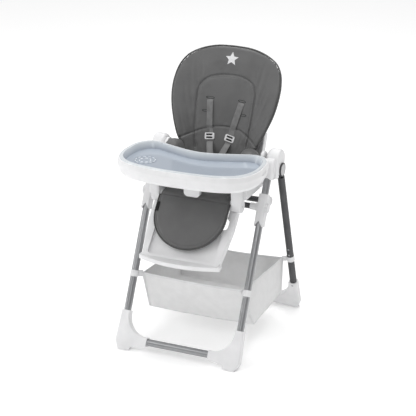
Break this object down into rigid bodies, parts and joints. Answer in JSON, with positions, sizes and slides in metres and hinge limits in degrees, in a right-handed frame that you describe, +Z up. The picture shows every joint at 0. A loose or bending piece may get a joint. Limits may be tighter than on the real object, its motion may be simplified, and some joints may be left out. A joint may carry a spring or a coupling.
{
  "type": "folding baby high chair",
  "caption": "Folding high chair on an A-frame of tubes, with a padded reclining seat that slides up and down the front legs, a footrest, a sliding tray and a storage basket.",
  "frame": {"origin": "on the floor under the middle of the chair, halfway between its outermost feet", "axes": "+Z up, -Y the way the sitting child faces, +X to the right of someone facing the chair"},
  "size_m": [0.5748, 0.6606, 1.1077],
  "materials": {
    "leg_metal": "gloss",
    "rear_leg_metal": "satin",
    "tube_dark": "satin",
    "steel": "brushed",
    "white_plastic": "satin",
    "light_grey_plastic": "satin",
    "dark_plastic": "matte",
    "tray_clear": "gloss",
    "cushion": "matte",
    "webbing": "woven",
    "basket_fabric": "woven",
    "rubber": "matte"
  },
  "bodies": {
    "front_frame": {"front_foot_right": "white_plastic", "front_foot_left": "white_plastic", "front_foot_pads": "rubber", "front_leg_right": "leg_metal", "front_leg_left": "leg_metal", "front_crossbar": "leg_metal", "hinge_housing_inner_right": "white_plastic", "hinge_housing_inner_left": "white_plastic", "hinge_housing_outer_right": "white_plastic", "hinge_housing_outer_left": "white_plastic", "fold_pivot_pins": "steel", "fold_button_bezels": "dark_plastic", "basket": "basket_fabric", "basket_straps_front": "webbing", "housing_screws": "steel"},
    "rear_frame": {"rear_foot_right": "light_grey_plastic", "rear_foot_left": "light_grey_plastic", "rear_foot_pads": "rubber", "rear_crossbar": "rear_leg_metal", "rear_leg_right": "rear_leg_metal", "rear_leg_left": "rear_leg_metal", "rear_leg_knuckle_right": "dark_plastic", "rear_leg_knuckle_left": "dark_plastic", "rear_leg_screws": "steel", "basket_straps_rear": "webbing"},
    "fold_button_r": {"fold_button_right": "light_grey_plastic"},
    "fold_button_l": {"fold_button_left": "light_grey_plastic"},
    "carriage": {"slider_right": "light_grey_plastic", "slider_left": "light_grey_plastic", "carrier_tube_front": "tube_dark", "carrier_tube_rear": "tube_dark", "seat_shell": "white_plastic", "seat_pad": "cushion", "side_bolster_right": "cushion", "side_bolster_left": "cushion", "recline_pins": "steel", "footrest_pins": "steel", "harness_buckle": "dark_plastic", "lap_straps": "webbing"},
    "slider_button_r": {"slider_button_right": "light_grey_plastic"},
    "slider_button_l": {"slider_button_left": "light_grey_plastic"},
    "backrest": {"backrest_pad": "cushion", "backrest_shell": "white_plastic", "backrest_emblem": "light_grey_plastic", "shoulder_strap_left": "webbing", "shoulder_strap_right": "webbing", "strap_adjuster_left": "light_grey_plastic", "strap_adjuster_right": "light_grey_plastic"},
    "recline_latch": {"recline_handle": "light_grey_plastic", "recline_rod": "steel"},
    "footrest": {"footrest_frame": "white_plastic", "footrest_step": "white_plastic", "calf_pad": "cushion"},
    "tray": {"tray_base": "white_plastic", "tray_front_plate": "light_grey_plastic", "crotch_post": "white_plastic"},
    "tray_dish": {"tray_insert": "tray_clear"},
    "tray_button_r": {"tray_button_right": "light_grey_plastic"},
    "tray_button_l": {"tray_button_left": "light_grey_plastic"},
    "buckle_release": {"buckle_button": "light_grey_plastic"}
  },
  "joints": [
    {"name": "frame_fold", "type": "hinge", "parent": "front_frame", "child": "rear_frame", "pos_m": [0, 0.0915, 0.678], "axis": [-1, 0, 0], "range_deg": [0, 43]},
    {"name": "fold_button_right", "type": "slide", "parent": "front_frame", "child": "fold_button_r", "axis": [-1, 0, 0], "range_m": [0, 0.0032], "stiffness_N_per_m": 900},
    {"name": "fold_button_left", "type": "slide", "parent": "front_frame", "child": "fold_button_l", "axis": [1, 0, 0], "range_m": [0, 0.0032], "stiffness_N_per_m": 900},
    {"name": "height_slide", "type": "slide", "parent": "front_frame", "child": "carriage", "axis": [0, 0.4515, 0.8923], "range_m": [-0.16, 0.03]},
    {"name": "slider_button_right", "type": "slide", "parent": "carriage", "child": "slider_button_r", "axis": [-1, 0, 0], "range_m": [0, 0.0015], "stiffness_N_per_m": 900},
    {"name": "slider_button_left", "type": "slide", "parent": "carriage", "child": "slider_button_l", "axis": [1, 0, 0], "range_m": [0, 0.0015], "stiffness_N_per_m": 900},
    {"name": "recline", "type": "hinge", "parent": "carriage", "child": "backrest", "pos_m": [0, 0.11, 0.64], "axis": [-1, 0, 0], "range_deg": [0, 35]},
    {"name": "recline_pull", "type": "slide", "parent": "backrest", "child": "recline_latch", "axis": [0, 0.3133, 0.9496], "range_m": [0, 0.01], "stiffness_N_per_m": 600},
    {"name": "footrest_tilt", "type": "hinge", "parent": "carriage", "child": "footrest", "pos_m": [0, -0.1045, 0.582], "axis": [-1, 0, 0], "range_deg": [-25, 30]},
    {"name": "tray_slide", "type": "slide", "parent": "carriage", "child": "tray", "axis": [0, -1, 0], "range_m": [0, 0.1]},
    {"name": "insert_lift", "type": "slide", "parent": "tray", "child": "tray_dish", "axis": [0, 0, 1], "range_m": [0, 0.08]},
    {"name": "tray_button_right", "type": "slide", "parent": "tray", "child": "tray_button_r", "axis": [-1, 0, 0], "range_m": [0, 0.003], "stiffness_N_per_m": 900},
    {"name": "tray_button_left", "type": "slide", "parent": "tray", "child": "tray_button_l", "axis": [1, 0, 0], "range_m": [0, 0.003], "stiffness_N_per_m": 900},
    {"name": "buckle_press", "type": "slide", "parent": "carriage", "child": "buckle_release", "axis": [0, 0.866, -0.5], "range_m": [0, 0.0035], "stiffness_N_per_m": 900}
  ]
}
